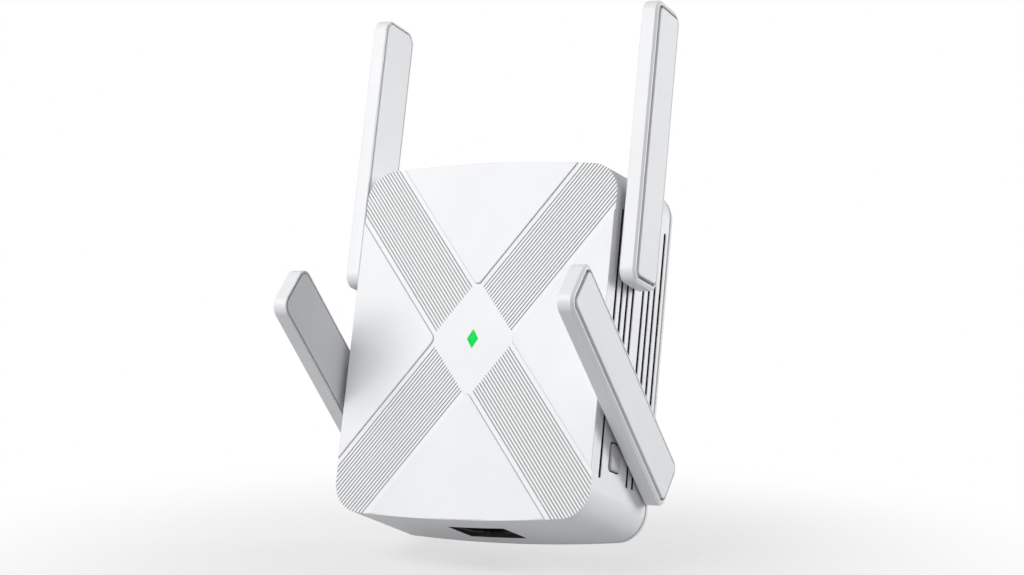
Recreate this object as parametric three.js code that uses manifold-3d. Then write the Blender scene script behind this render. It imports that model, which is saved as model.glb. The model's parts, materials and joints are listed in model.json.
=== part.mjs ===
// A plug-in Wi-Fi range extender with four folding antennas, in millimetres.
// +Z is up, the front faces -Y, and the wall is the plane y = 0. The origin is the middle of the wall face.
import * as THREE from "three";
import { mergeVertices } from "three/addons/utils/BufferGeometryUtils.js";
import Module from "manifold-3d";

const wasm = await Module();
wasm.setup();

// ---- Driving dimensions ----

const GAP = 0.3; // clearance between neighbouring pieces
const DEPTH = 42; // wall face to front face

// Outline at the front face. The top and bottom edges bow outwards by BOW.
const HALF_WIDTH = 38;
const HALF_HEIGHT = 47.45;
const CORNER_R = 8.35;
const BOW = 1.13;
// The outline grows towards the wall by these amounts over GROW_DEPTH.
const GROW_X = 1.1;
const GROW_Z = 1.23;
const GROW_DEPTH = 35.3;

const FRONT_Y = -DEPTH;
const PANEL_BACK_Y = FRONT_Y + 2;
const SHELL_FRONT_Y = PANEL_BACK_Y + GAP;
const SHELL_REAR_Y = -9.05;
const COVER_FRONT_Y = SHELL_REAR_Y + GAP;
const WALL = 2; // side walls
const FRONT_WALL = 1.8; // the housing's front wall, behind the panel
// The rear cover's sides: places from its rim to the wall face, and how far each is drawn in.
const COVER_SIDE = [[COVER_FRONT_Y, 0], [COVER_FRONT_Y + 1.45, 0], [-2, 2.9], [0, 4.4]];

// Front relief: two crossing recessed bands, each with fine parallel grooves.
const RELIEF_X = -0.6; // the middle of the relief
const BAND_ANGLE = THREE.MathUtils.degToRad(38.4); // from vertical
const BAND_HALF = 8.85;
const BAND_DEPTH = 0.5;
const GROOVE_PITCH = 0.866;
const GROOVES_EACH_SIDE = 9; // of the band's centre line
const GROOVE_END = 10.15; // each groove stops this far from the other band's centre line
const GROOVE_WIDTH = 0.36;
const GROOVE_DEPTH = 0.35;
const BAND_SOFTEN = 1.6; // rounding of the fields' inner corners
const LENS_HALF = [1.6, 2.5];
const LIGHT_PIPE = { backY: -35.2, collarR: 3.6, collarY: [-37.6, -36.6] };
const PEG_R = 1.5; // pegs behind the panel
const PEG_LENGTH = 4;
const PEGS = [[-14, -33], [14, -33], [-14, 33], [14, 33]];

// Side vents: distance of each slot behind the front face.
const VENT_FRONT_GROUP = [5.0, 8.33, 11.65, 14.97];
const VENT_REAR_GROUP = [20.75, 24.08, 27.4, 30.72];
const VENT_WIDTH = 1.2;
const VENT_END_Z = 35.8;

// Antenna blade, measured from its pivot: x is the distance from the middle plane of the housing.
const BLADE_LENGTH = 77.81;
const BLADE_HALF_WIDTH = 7.765;
const BLADE_CORNER_R = 3.57;
const BLADE_INNER_X = 39.43;
const BLADE_OUTER_X = 44.35;
const BLADE_WALL = 1.3;
// The shell's rims at its inner and outer side, and the floors of the recesses that the two covers lie in.
const BLADE_RIM_X = [39.6, 44];
const BLADE_FLOOR_X = [40.33, 43.4];
// How far each recess and its cover are inset from the blade's outline.
const INNER_COVER = { recess: 0.5, inset: 0.95 };
const OUTER_COVER = { recess: 1.55, inset: 2.05 };
const PIVOT_FROM_END = 10;
const HUB_R = 3;
const HUB_TIP_X = 33.6;
const HUB_BORE_R = 1.5;
const CLIP_X = [34.6, 35.4];
const PIVOT_RING_R = 4;
const PIVOT_RING_X = [35.7, 37.2]; // the ring thickens the side wall from inside
// Pivot places in the housing's side, and how far each antenna leans forward from upright.
const PIVOTS = {
  upper: { y: FRONT_Y + 10.25, z: 25.8, lean: 0 },
  lower: { y: FRONT_Y + 28.8, z: -27.96, lean: 57.9 },
};

// Fasteners and plug
const SCREW_X = 29.4;
const SCREW_Z = 39;
const SCREW_R = 1.2;
const SCREW_HEAD_R = 2.5;
const SCREW_HEAD_Y = [-2.5, -0.9];
const SCREW_TIP_Y = -16;
const BOSS_R = 3.3;
const BOSS_END_Y = -9.4;
const BLADE_SPACING = 12.7; // between the two plug blades
const PLUG_BLADE = {
  thickness: 1.5, width: 6.35, reach: 17, inside: 10.5, chamfer: 1.6, holeR: 1.6, holeFromTip: 5,
};

// Ethernet socket and push button
const PORT = { halfWidth: 8.5, y0: -30.6, y1: -16.7 };
const JACK = { halfWidth: 8, y0: -30.3, y1: -17, z0: -48.5, z1: -27.4, cavityDepth: 15 };
const BUTTON = { y: FRONT_Y + 12.55, z: -29.35, halfY: 2.95, halfZ: 3.55, footX: 34.9, topX: 39 };

// Boards
const BOARD_Y = [-33.4, -31.8]; // main board, front and rear faces
const BOARD_HALF = [30.5, 44];
const BOARD_NOTCH = [25.5, 35.1]; // cut back beyond this at the corners, clear of the screw bosses
const POWER_Y = [-12.5, -10.9]; // power board, front and rear faces
const POST_R = 2.2; // posts under the main board
const POSTS = [[-22, -30], [22, -36], [-22, 36], [22, 36]];
const SCREWED_POSTS = { lower_left: POSTS[0], upper_right: POSTS[3] };

// ---- Materials ----

function material(color, roughness, metalness = 0) {
  return new THREE.MeshStandardMaterial({ color, roughness, metalness });
}

const WHITE = () => material(0xf3f4f6, 0.38);
const SATIN = () => material(0xdedfe2, 0.45);
const GREEN = () => material(0x18f060, 0.25);
const BLACK = () => material(0x1a1a1c, 0.5);
const BOARD = () => material(0x1f6b3a, 0.5);
const STEEL = () => material(0xb8babd, 0.35, 1);
const BRASS = () => material(0xd2b36a, 0.3, 1);
const ALUMINIUM = () => material(0xc4c7ca, 0.4, 1);
const YELLOW = () => material(0xe0b93a, 0.5);
const NATURAL = () => material(0xe6e1d2, 0.5);
const GREY = () => material(0x6f7276, 0.5);

// ---- Solids ----

function toSolid(geometry) {
  const bare = geometry.clone();
  for (const name of ["normal", "uv"]) bare.deleteAttribute(name);
  const merged = mergeVertices(bare, 1e-4);
  const vertProperties = new Float32Array(merged.attributes.position.array);
  const triVerts = new Uint32Array(merged.index.array);
  return new wasm.Manifold(new wasm.Mesh({ numProp: 3, vertProperties, triVerts }));
}

function toGeometry(solid) {
  const made = solid.getMesh();
  const geometry = new THREE.BufferGeometry();
  geometry.setAttribute("position", new THREE.BufferAttribute(made.vertProperties, 3));
  geometry.setIndex(new THREE.BufferAttribute(made.triVerts, 1));
  return geometry.toNonIndexed();
}

function join(first, ...others) {
  return others.reduce((sum, other) => sum.add(other), first);
}

function cut(first, ...others) {
  return others.reduce((rest, other) => rest.subtract(other), first);
}

function block([x0, x1], [y0, y1], [z0, z1]) {
  const box = new THREE.BoxGeometry(x1 - x0, y1 - y0, z1 - z0);
  return toSolid(box.translate((x0 + x1) / 2, (y0 + y1) / 2, (z0 + z1) / 2));
}

// Two limits in rising order.
function span(a, b) {
  return [Math.min(a, b), Math.max(a, b)];
}

function extrude(shape, depth, curveSegments) {
  return new THREE.ExtrudeGeometry(shape, { depth, curveSegments, bevelEnabled: false });
}

// A shape drawn in (x, z), extruded from y0 to y1. move() may shift each vertex afterwards.
function prismY(shape, y0, y1, { segments = 3, move } = {}) {
  const geometry = extrude(shape, y1 - y0, segments).rotateX(Math.PI / 2).translate(0, y1, 0);
  if (move) {
    const place = geometry.attributes.position;
    const point = new THREE.Vector3();
    for (let i = 0; i < place.count; i++) {
      move(point.fromBufferAttribute(place, i));
      place.setXYZ(i, point.x, point.y, point.z);
    }
  }
  return toSolid(geometry);
}

// A shape drawn in (y, z), extruded from x0 to x1.
const YZ_TO_X = new THREE.Matrix4().set(0, 0, 1, 0, 1, 0, 0, 0, 0, 1, 0, 0, 0, 0, 0, 1);

function prismX(shape, x0, x1, segments = 3) {
  return toSolid(extrude(shape, x1 - x0, segments).applyMatrix4(YZ_TO_X).translate(x0, 0, 0));
}

function rodX(radius, [x0, x1], y, z, sides = 16) {
  const rod = new THREE.CylinderGeometry(radius, radius, x1 - x0, sides);
  return toSolid(rod.rotateZ(-Math.PI / 2).translate((x0 + x1) / 2, y, z));
}

function rodY(radius, [y0, y1], x, z, sides = 12) {
  const rod = new THREE.CylinderGeometry(radius, radius, y1 - y0, sides);
  return toSolid(rod.translate(x, (y0 + y1) / 2, z));
}

// A round tube or wire along a smooth curve through the points.
function wire(points, radius, steps) {
  const section = new THREE.Shape().absarc(0, 0, radius, 0, 2 * Math.PI);
  const curve = new THREE.CatmullRomCurve3(points.map((p) => new THREE.Vector3(...p)));
  const options = { steps, curveSegments: 3, extrudePath: curve };
  return new THREE.ExtrudeGeometry(section, options);
}

// ---- Outlines ----

function roundedRect(halfX, halfY, radius, centreX = 0, centreY = 0) {
  const shape = new THREE.Shape();
  const corners = [[1, -1, -0.5], [1, 1, 0], [-1, 1, 0.5], [-1, -1, 1]];
  for (const [sx, sy, turn] of corners) {
    const x = centreX + sx * (halfX - radius);
    const y = centreY + sy * (halfY - radius);
    shape.absarc(x, y, radius, turn * Math.PI, (turn + 0.5) * Math.PI);
  }
  shape.closePath();
  return shape;
}

// The housing outline at the front face, moved inwards by inset. Its top and bottom edges are arcs.
function bodyOutline(inset = 0) {
  const halfX = HALF_WIDTH - inset;
  const halfZ = HALF_HEIGHT - inset;
  const radius = CORNER_R - inset;
  const chord = halfX - radius;
  const bowR = (chord * chord + BOW * BOW) / (2 * BOW);
  const bowCentre = halfZ + BOW - bowR;
  const sweep = Math.asin(chord / bowR);
  const up = Math.PI / 2;
  const shape = new THREE.Shape();
  shape.absarc(chord, halfZ - radius, radius, 0, up);
  shape.absarc(0, bowCentre, bowR, up - sweep, up + sweep);
  shape.absarc(-chord, halfZ - radius, radius, up, 2 * up);
  shape.absarc(-chord, radius - halfZ, radius, 2 * up, 3 * up);
  shape.absarc(0, -bowCentre, bowR, 3 * up - sweep, 3 * up + sweep);
  shape.absarc(chord, radius - halfZ, radius, 3 * up, 4 * up);
  shape.closePath();
  return shape;
}

// How much the outline has grown at a place, as factors on x and z.
function growth(y) {
  const t = (y - FRONT_Y) / GROW_DEPTH;
  return [1 + (GROW_X / HALF_WIDTH) * t, 1 + (GROW_Z / HALF_HEIGHT) * t];
}

function grow(point) {
  const [fx, fz] = growth(point.y);
  point.x *= fx;
  point.z *= fz;
}

function bladeOutline(inset = 0) {
  const middle = BLADE_LENGTH / 2 - PIVOT_FROM_END;
  const halfY = BLADE_HALF_WIDTH - inset;
  const halfZ = BLADE_LENGTH / 2 - inset;
  return roundedRect(halfY, halfZ, BLADE_CORNER_R - inset, 0, middle);
}

// ---- The object as a scene graph ----

const extender = new THREE.Group();
extender.name = "wifi_range_extender";

function add(name, made, look, parent = extender) {
  const geometry = made.isBufferGeometry ? made : toGeometry(made);
  geometry.computeVertexNormals();
  const mesh = new THREE.Mesh(geometry, look);
  mesh.name = name;
  parent.add(mesh);
  return mesh;
}

const SIDES = { left: -1, right: 1 };
const ROWS = { lower: -1, upper: 1 };

// Calls visit for the four corners. out is -1 on the left and 1 on the right, and up is -1 below and 1 above.
function eachCorner(visit) {
  for (const [row, up] of Object.entries(ROWS))
    for (const [side, out] of Object.entries(SIDES)) visit({ name: `${row}_${side}`, out, up, row });
}

// ---- Front panel and indicator ----

// A flat field between two bands. facing is its direction from the middle: 0 up, 1 right, 2 down, 3 left.
function field(facing) {
  const sideways = facing % 2 === 1;
  const lean = sideways ? Math.PI / 2 - BAND_ANGLE : BAND_ANGLE;
  const apex = BAND_HALF / Math.sin(lean);
  const beyondEdge = 60;
  const along = (distance, side) => [side * Math.sin(lean) * distance, apex + Math.cos(lean) * distance];
  const shape = new THREE.Shape();
  shape.moveTo(...along(BAND_SOFTEN, 1));
  shape.lineTo(...along(beyondEdge, 1)).lineTo(...along(beyondEdge, -1)).lineTo(...along(BAND_SOFTEN, -1));
  shape.quadraticCurveTo(0, apex, ...along(BAND_SOFTEN, 1));
  const thickness = BAND_DEPTH + 0.2; // it sinks into the band floor, so that the two join
  const geometry = extrude(shape, thickness, 6).rotateX(Math.PI / 2);
  geometry.translate(0, FRONT_Y + thickness, 0).rotateY((facing * Math.PI) / 2);
  return toSolid(geometry.translate(RELIEF_X, 0, 0));
}

function grooves() {
  const [slant, skew] = [Math.sin(2 * BAND_ANGLE), Math.cos(2 * BAND_ANGLE)];
  const length = 60;
  const made = [];
  for (const arm of [1, -1])
    for (const turn of [0, Math.PI])
      for (let i = -GROOVES_EACH_SIDE; i < GROOVES_EACH_SIDE; i++) {
        const across = (i + 0.5) * GROOVE_PITCH;
        const start = (GROOVE_END - arm * across * skew) / slant;
        const groove = new THREE.BoxGeometry(GROOVE_WIDTH, 2 * GROOVE_DEPTH, length);
        groove.translate(across, FRONT_Y + BAND_DEPTH, start + length / 2);
        made.push(toSolid(groove.rotateY(arm * BAND_ANGLE + turn).translate(RELIEF_X, 0, 0)));
      }
  return made;
}

function lensOutline(extra = 0) {
  const [x, z] = LENS_HALF.map((half) => half + extra);
  const shape = new THREE.Shape();
  shape.moveTo(RELIEF_X + x, 0).lineTo(RELIEF_X, z).lineTo(RELIEF_X - x, 0).lineTo(RELIEF_X, -z);
  shape.closePath();
  return shape;
}

function buildFrontPanel() {
  const floorY = FRONT_Y + BAND_DEPTH;
  const edge = prismY(bodyOutline(), FRONT_Y, PANEL_BACK_Y, { move: grow });
  let panel = prismY(bodyOutline(), floorY, PANEL_BACK_Y, { move: grow });
  for (const facing of [0, 1, 2, 3]) panel = panel.add(field(facing).intersect(edge));
  panel = cut(panel, ...grooves());
  for (const [x, z] of PEGS) {
    panel = panel.add(rodY(PEG_R, [PANEL_BACK_Y - 0.5, PANEL_BACK_Y + PEG_LENGTH], x, z));
  }
  panel = panel.subtract(prismY(lensOutline(GAP), FRONT_Y - 1, PANEL_BACK_Y + 1));
  add("front_panel", panel, WHITE());

  const pipe = prismY(lensOutline(), floorY - 0.1, LIGHT_PIPE.backY);
  const collar = rodY(LIGHT_PIPE.collarR, LIGHT_PIPE.collarY, RELIEF_X, 0);
  add("indicator_lens", pipe.add(collar), GREEN());
}

// ---- Housing ----

function vents(out) {
  const slot = (behind, z0, z1) => {
    const y = FRONT_Y + behind;
    return block(span(out * 33, out * 42), [y - VENT_WIDTH / 2, y + VENT_WIDTH / 2], [z0, z1]);
  };
  const { upper, lower } = PIVOTS;
  const underUpper = upper.z - PIVOT_RING_R - 1.5;
  const overLower = lower.z + PIVOT_RING_R + 1.5;
  // On the right the short slots stop above the push button.
  const overButton = BUTTON.z + BUTTON.halfZ + 6;
  const shortFoot = out > 0 ? overButton : -VENT_END_Z;
  const [front, ...short] = VENT_FRONT_GROUP;
  return [
    slot(front, -VENT_END_Z, VENT_END_Z),
    ...short.map((behind) => slot(behind, shortFoot, underUpper)),
    ...VENT_REAR_GROUP.slice(0, 2).map((behind) => slot(behind, -VENT_END_Z, VENT_END_Z)),
    ...VENT_REAR_GROUP.slice(2).map((behind) => slot(behind, overLower, VENT_END_Z)),
  ];
}

function buildHousing() {
  const innerFrontY = SHELL_FRONT_Y + FRONT_WALL;
  const footY = innerFrontY - 0.5; // bosses and posts sink into the front wall
  let shell = prismY(bodyOutline(), SHELL_FRONT_Y, SHELL_REAR_Y, { move: grow });
  shell = shell.subtract(prismY(bodyOutline(WALL), innerFrontY, 0, { move: grow }));
  eachCorner(({ out, up, row }) => {
    const [x, z] = [out * SCREW_X, up * SCREW_Z];
    const pivot = PIVOTS[row];
    const boss = rodY(BOSS_R, [footY, BOSS_END_Y], x, z);
    const ring = rodX(PIVOT_RING_R, span(...PIVOT_RING_X.map((end) => out * end)), pivot.y, pivot.z);
    const bore = rodX(HUB_R + GAP, span(out * 30, out * 45), pivot.y, pivot.z);
    shell = cut(join(shell, boss, ring), bore, rodY(SCREW_R + GAP, [-30, -9], x, z));
  });
  for (const [x, z] of POSTS) {
    const post = rodY(POST_R, [footY, BOARD_Y[0] - GAP], x, z);
    shell = shell.add(post).subtract(rodY(POST_R / 2, [-37, -33], x, z, 10));
  }
  for (const [x, z] of PEGS) shell = shell.subtract(rodY(PEG_R + GAP, [-40.5, -35], x, z));
  for (const out of Object.values(SIDES)) shell = cut(shell, ...vents(out));

  const { y, z, halfY, halfZ } = BUTTON;
  const buttonHole = roundedRect(halfY + GAP, halfZ + GAP, 1.2, y, z);
  const port = block([-PORT.halfWidth, PORT.halfWidth], [PORT.y0, PORT.y1], [-52, -40]);
  shell = cut(shell, prismX(buttonHole, 30, 42), port);
  shell = shell.subtract(prismY(lensOutline(GAP), -41, -37));
  // The rings of the lower pivots end flush with the seam.
  const behindSeam = block([-45, 45], [SHELL_REAR_Y, 0], [-55, 55]);
  add("front_housing", shell.subtract(behindSeam), WHITE());
}

// The rear cover's outline at a place. move() draws it in evenly between the two ends of a stretch.
function coverStretch(outline, [y0, in0], [y1, in1]) {
  const [rimX, rimZ] = growth(FRONT_Y + GROW_DEPTH);
  const move = (point) => {
    const inwards = in0 + ((in1 - in0) * (point.y - y0)) / (y1 - y0);
    point.x *= rimX - inwards / HALF_WIDTH;
    point.z *= rimZ - inwards / HALF_HEIGHT;
  };
  return prismY(outline, y0, y1, { move });
}

function buildRearCover() {
  const [front, rim, inner, wallFace] = COVER_SIDE;
  const outer = bodyOutline();
  const hollow = bodyOutline(WALL);
  let cover = join(
    coverStretch(outer, front, rim),
    coverStretch(outer, rim, inner),
    coverStretch(outer, inner, wallFace),
  );
  const openFront = [COVER_FRONT_Y - 1, 0];
  cover = cut(cover, coverStretch(hollow, openFront, rim), coverStretch(hollow, rim, inner));
  eachCorner(({ name, out, up }) => {
    const [x, z] = [out * SCREW_X, up * SCREW_Z];
    cover = cover.add(rodY(BOSS_R + GAP, [BOSS_END_Y + GAP, -1], x, z));
    const counterbore = rodY(SCREW_HEAD_R + 0.4, [SCREW_HEAD_Y[0] - GAP, 1], x, z);
    cover = cut(cover, rodY(SCREW_R + GAP, [-12, 1], x, z), counterbore);

    const shank = rodY(SCREW_R, [SCREW_TIP_Y, SCREW_HEAD_Y[1] - 0.7], x, z);
    const screw = shank.add(rodY(SCREW_HEAD_R, SCREW_HEAD_Y, x, z));
    const slots = [[1.4, 0.3], [0.3, 1.4]].map(([halfX, halfZ]) =>
      block([x - halfX, x + halfX], [-1.5, 0], [z - halfZ, z + halfZ]),
    );
    add(`housing_screw_${name}`, cut(screw, ...slots), STEEL());
  });
  add("rear_cover", cut(cover, ...bladeSlots([-4, 1])), WHITE());
}

// ---- Wall plug ----

function eachPlugBlade(visit) {
  for (const [side, out] of Object.entries(SIDES)) visit(side, (out * BLADE_SPACING) / 2);
}

// The two slots that the plug blades pass through.
function bladeSlots(depth) {
  const halfX = PLUG_BLADE.thickness / 2 + GAP;
  const halfZ = PLUG_BLADE.width / 2 + GAP;
  const slots = [];
  eachPlugBlade((side, x) => slots.push(block([x - halfX, x + halfX], depth, [-halfZ, halfZ])));
  return slots;
}

function buildPlug() {
  const { thickness, width, reach, inside, chamfer, holeR, holeFromTip } = PLUG_BLADE;
  const half = width / 2;
  const profile = new THREE.Shape();
  profile.moveTo(-inside, -half).lineTo(reach - chamfer, -half).lineTo(reach, chamfer - half);
  profile.lineTo(reach, half - chamfer).lineTo(reach - chamfer, half).lineTo(-inside, half);
  profile.closePath();
  eachPlugBlade((side, x) => {
    const blade = prismX(profile, x - thickness / 2, x + thickness / 2);
    const hole = rodX(holeR, [x - thickness, x + thickness], reach - holeFromTip, 0);
    add(`plug_blade_${side}`, blade.subtract(hole), BRASS());
  });

  const retainer = prismY(roundedRect(12, 7, 1.5), -7.6, -2 - GAP, { segments: 2 });
  add("blade_retainer", cut(retainer, ...bladeSlots([-9, -1])), GREY());
}

// ---- Ethernet socket ----

function buildSocket() {
  const { halfWidth, y0, y1, z0, z1, cavityDepth } = JACK;
  const cavityTop = z0 + cavityDepth;
  // The plug's cavity opens downwards, and the latch slot on its rear side narrows in two steps.
  const cavity = [[5.95, 1.4, 9.7], [3.1, 9, 11.3], [1.7, 11, 12.3]].map(([halfX, front, rear]) =>
    block([-halfX, halfX], [y0 + front, y0 + rear], [z0 - 1, cavityTop]),
  );
  const body = block([-halfWidth, halfWidth], [y0, y1], [z0, z1]);
  add("ethernet_jack", cut(body, ...cavity), BLACK());

  // The contact carrier at the end of the cavity, with eight sloping spring contacts.
  const count = 8;
  const pitch = 1.27;
  const halfLeaf = 0.22;
  const [foot, tip] = [cavityTop - 3.5, cavityTop - 10];
  const leaf = new THREE.Shape();
  leaf.moveTo(y0 + 2, foot).lineTo(y0 + 2, tip).lineTo(y0 + 2.4, tip).lineTo(y0 + 4.1, foot);
  leaf.closePath();
  let contacts = block([-5.6, 5.6], [y0 + 1.75, y0 + 4.2], [cavityTop - 4, cavityTop - GAP]);
  for (let i = 0; i < count; i++) {
    const x = (i - (count - 1) / 2) * pitch;
    contacts = contacts.add(prismX(leaf, x - halfLeaf, x + halfLeaf));
  }
  add("jack_contacts", contacts, BRASS());
}

// ---- Push button ----

function buildButton() {
  const { y, z, halfY, halfZ, footX, topX } = BUTTON;
  const chamfer = 0.4;
  const flangeOut = 1.1; // stops the cap from inside the wall
  const tier = (out, radius, x0, x1) => {
    return prismX(roundedRect(halfY + out, halfZ + out, radius, y, z), x0, x1, 1);
  };
  const cap = tier(0, 1, footX, topX - chamfer);
  const crown = tier(-chamfer, 0.8, topX - chamfer - 0.1, topX);
  const flange = tier(flangeOut, 1, footX, footX + 1);
  const stem = block([footX - 1.4, footX + 0.1], [y - 1.2, y + 1.2], [z - 1.2, z + 1.2]);
  add("wps_button", join(cap, crown, flange, stem), SATIN());

  const body = block([25.8, 30.3], [BOARD_Y[1] + GAP, y + 2], [z - 3, z + 3]);
  const plunger = rodX(1.2, [30, 32.5], y, z, 12);
  add("button_switch", body.add(plunger), BLACK());
}

// ---- Main board ----

function buildMainBoard() {
  const [frontY, rearY] = BOARD_Y;
  const [halfX, halfZ] = BOARD_HALF;
  const [notchX, notchZ] = BOARD_NOTCH;
  const depth = [frontY - 1, rearY + 1];
  let board = block([-halfX, halfX], BOARD_Y, [-halfZ, halfZ]);
  eachCorner(({ out, up }) => {
    const notch = block(span(out * notchX, out * (halfX + 1)), depth, span(up * notchZ, up * (halfZ + 1)));
    board = board.subtract(notch);
  });
  for (const [x, z] of POSTS) board = board.subtract(rodY(1.3, depth, x, z));
  add("main_board", board, BOARD());

  const seatY = rearY + GAP; // where parts on the board's rear face begin
  for (const [name, [x, z]] of Object.entries(SCREWED_POSTS)) {
    const shaft = rodY(0.8, [-36.6, rearY + 1], x, z, 10);
    const head = rodY(2, [seatY, seatY + 1.2], x, z);
    add(`board_screw_${name}`, shaft.add(head), STEEL());
  }

  const ledY = frontY - GAP;
  const chipTop = seatY + 1.2;
  add("status_led", block([RELIEF_X - 1.5, RELIEF_X + 1.5], [ledY - 1.1, ledY], [-1.4, 1.4]), NATURAL());
  add("main_processor", block([-7, 7], [seatY, chipTop], [-6, 8]), BLACK());

  // Heat sink: a base plate with upright fins, on the processor.
  const baseY = chipTop + GAP;
  const sinkZ = [-10, 12];
  const fins = 8;
  const finPitch = 2.886;
  let sink = block([-11, 11], [baseY, baseY + 1.2], sinkZ);
  for (let i = 0; i < fins; i++) {
    const x = -10.6 + i * finPitch;
    sink = sink.add(block([x, x + 1], [baseY + 1, baseY + 3], sinkZ));
  }
  add("heat_sink", sink, ALUMINIUM());

  for (const [side, out] of Object.entries(SIDES)) {
    const canX = [out * 18 - 7.5, out * 18 + 7.5];
    add(`shield_can_${side}`, block(canX, [seatY, seatY + 2.6], [14.5, 32.5]), STEEL());
  }
  add("ethernet_magnetics", block([-6, 6], [seatY, seatY + 3.4], [-25, -13]), BLACK());
}

// ---- Power board ----

function buildPowerBoard() {
  const [frontY, rearY] = POWER_Y;
  const seatY = frontY - GAP; // where parts on the board's front face begin
  add("power_board", block([-27, 27], [frontY, rearY], [-20, 30]), BOARD());

  // Transformer: a core around a wound bobbin.
  const core = block([-22, -4], [seatY - 13, seatY], [9, 21]);
  const winding = block([-19, -7], [seatY - 11, seatY - 1.5], [5.5, 24.5]);
  add("power_transformer", core.add(winding), YELLOW());

  const bulk = { r: 5, length: 16, x: 14, z: 14 };
  const can = new THREE.CylinderGeometry(bulk.r, bulk.r, bulk.length, 20).rotateX(Math.PI / 2);
  add("bulk_capacitor", can.translate(bulk.x, seatY - bulk.r - 0.2, bulk.z), BLACK());
  add("output_capacitor", rodY(4, [seatY - 11, seatY], 12, -9), BLACK());
  add("bridge_rectifier", block([-18, -9], [seatY - 3, seatY], [-14, -6]), BLACK());

  // The low-voltage leads down to the main board.
  for (const [name, x] of [["positive", 19.5], ["negative", 22]]) {
    const route = [[-13.6, -16], [-18, -19.5], [-24, -19.5], [-29, -15], [-30.9, -9]];
    add(`dc_lead_${name}`, wire(route.map(([y, z]) => [x, y, z]), 0.55, 12), BLACK());
  }
}

// ---- Antennas ----

// One antenna stands upright along +Z from its pivot, on the right of the housing.
function buildAntenna(name, holder) {
  const [rimInnerX, rimOuterX] = BLADE_RIM_X;
  const [innerFloorX, outerFloorX] = BLADE_FLOOR_X;

  const shell = cut(
    prismX(bladeOutline(), rimInnerX, rimOuterX),
    prismX(bladeOutline(INNER_COVER.recess), rimInnerX - 1, innerFloorX),
    prismX(bladeOutline(BLADE_WALL), innerFloorX - 1, outerFloorX - 0.9),
    prismX(bladeOutline(OUTER_COVER.recess), outerFloorX, rimOuterX + 1),
  );
  add(`antenna_${name}_shell`, shell, WHITE(), holder);

  const outer = prismX(bladeOutline(OUTER_COVER.inset), outerFloorX + GAP, BLADE_OUTER_X);
  add(`antenna_${name}_outer_cover`, outer, SATIN(), holder);

  // Inner cover: a plate, a step that locates in the shell, and the hollow hub with its clip groove.
  const stepX = innerFloorX - GAP;
  const plate = prismX(bladeOutline(INNER_COVER.inset), BLADE_INNER_X, stepX);
  const step = prismX(bladeOutline(BLADE_WALL + GAP), stepX - 0.1, stepX + 0.8, 1);
  const grooveR = HUB_R - 0.8;
  const profile = [
    [HUB_BORE_R, HUB_TIP_X], [HUB_R, HUB_TIP_X],
    [HUB_R, CLIP_X[0] - GAP], [grooveR, CLIP_X[0] - GAP],
    [grooveR, CLIP_X[1] + GAP], [HUB_R, CLIP_X[1] + GAP],
    [HUB_R, stepX - 0.1], [HUB_BORE_R, stepX - 0.1], [HUB_BORE_R, HUB_TIP_X],
  ].map(([radius, x]) => new THREE.Vector2(radius, x));
  const hub = toSolid(new THREE.LatheGeometry(profile, 16).rotateZ(-Math.PI / 2));
  const bore = rodX(HUB_BORE_R, [BLADE_INNER_X - 0.5, stepX + 2], 0, 0);
  add(`antenna_${name}_inner_cover`, cut(plate.add(step), bore).add(hub), SATIN(), holder);

  const strip = block([stepX + 1.1, stepX + 1.7], [-4.5, 4.5], [3.5, 63.5]);
  add(`antenna_${name}_element`, strip, BOARD(), holder);

  // The clip is a flat ring in the hub's groove, open on one side.
  const past = [CLIP_X[0] - 1, CLIP_X[1] + 1];
  const ring = rodX(PIVOT_RING_R, CLIP_X, 0, 0);
  const eye = rodX(grooveR + GAP, past, 0, 0);
  const mouth = block(past, [-2.2, 2.2], [0, 6]);
  add(`antenna_${name}_clip`, cut(ring, eye, mouth), STEEL(), holder);
}

function buildAntennas() {
  eachCorner(({ name, out, row }) => {
    const { y, z, lean } = PIVOTS[row];
    const side = new THREE.Group();
    side.position.set(0, y, z);
    side.rotation.z = out > 0 ? 0 : Math.PI;
    const tilt = new THREE.Group();
    tilt.rotation.x = THREE.MathUtils.degToRad(out * lean);
    side.add(tilt);
    extender.add(side);
    buildAntenna(name, tilt);
  });
}

// Each coax lead runs along its pivot's axis, out of the hub and across to the main board.
function buildCoax() {
  const routes = {
    upper: [
      [31.6, -30.8, 25.2], [30.2, -28.4, 22], [29.6, -27.8, 17], [28.6, -29.2, 12.5], [28, -30.8, 9.5],
    ],
    lower: [
      [31.2, -14.2, -27], [30, -17.8, -24], [29.4, -22, -20], [28.6, -27, -16], [28, -30.8, -12.5],
    ],
  };
  eachCorner(({ name, out, row }) => {
    const { y, z } = PIVOTS[row];
    const onAxis = [40.4, 37, 33.5].map((x) => [x, y, z]);
    const points = [...onAxis, ...routes[row]].map(([x, ...rest]) => [out * x, ...rest]);
    add(`coax_${name}`, wire(points, 0.6, 16), BLACK());
  });
}

buildFrontPanel();
buildHousing();
buildRearCover();
buildPlug();
buildSocket();
buildButton();
buildMainBoard();
buildPowerBoard();
buildAntennas();
buildCoax();

export default extender;
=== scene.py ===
"""Looks of a plug-in Wi-Fi range extender with four folding antennas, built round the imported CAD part.

Lengths are millimetres in the row frame (x right, y to the wall, z up) until a mesh is made in metres.
"""

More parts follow.
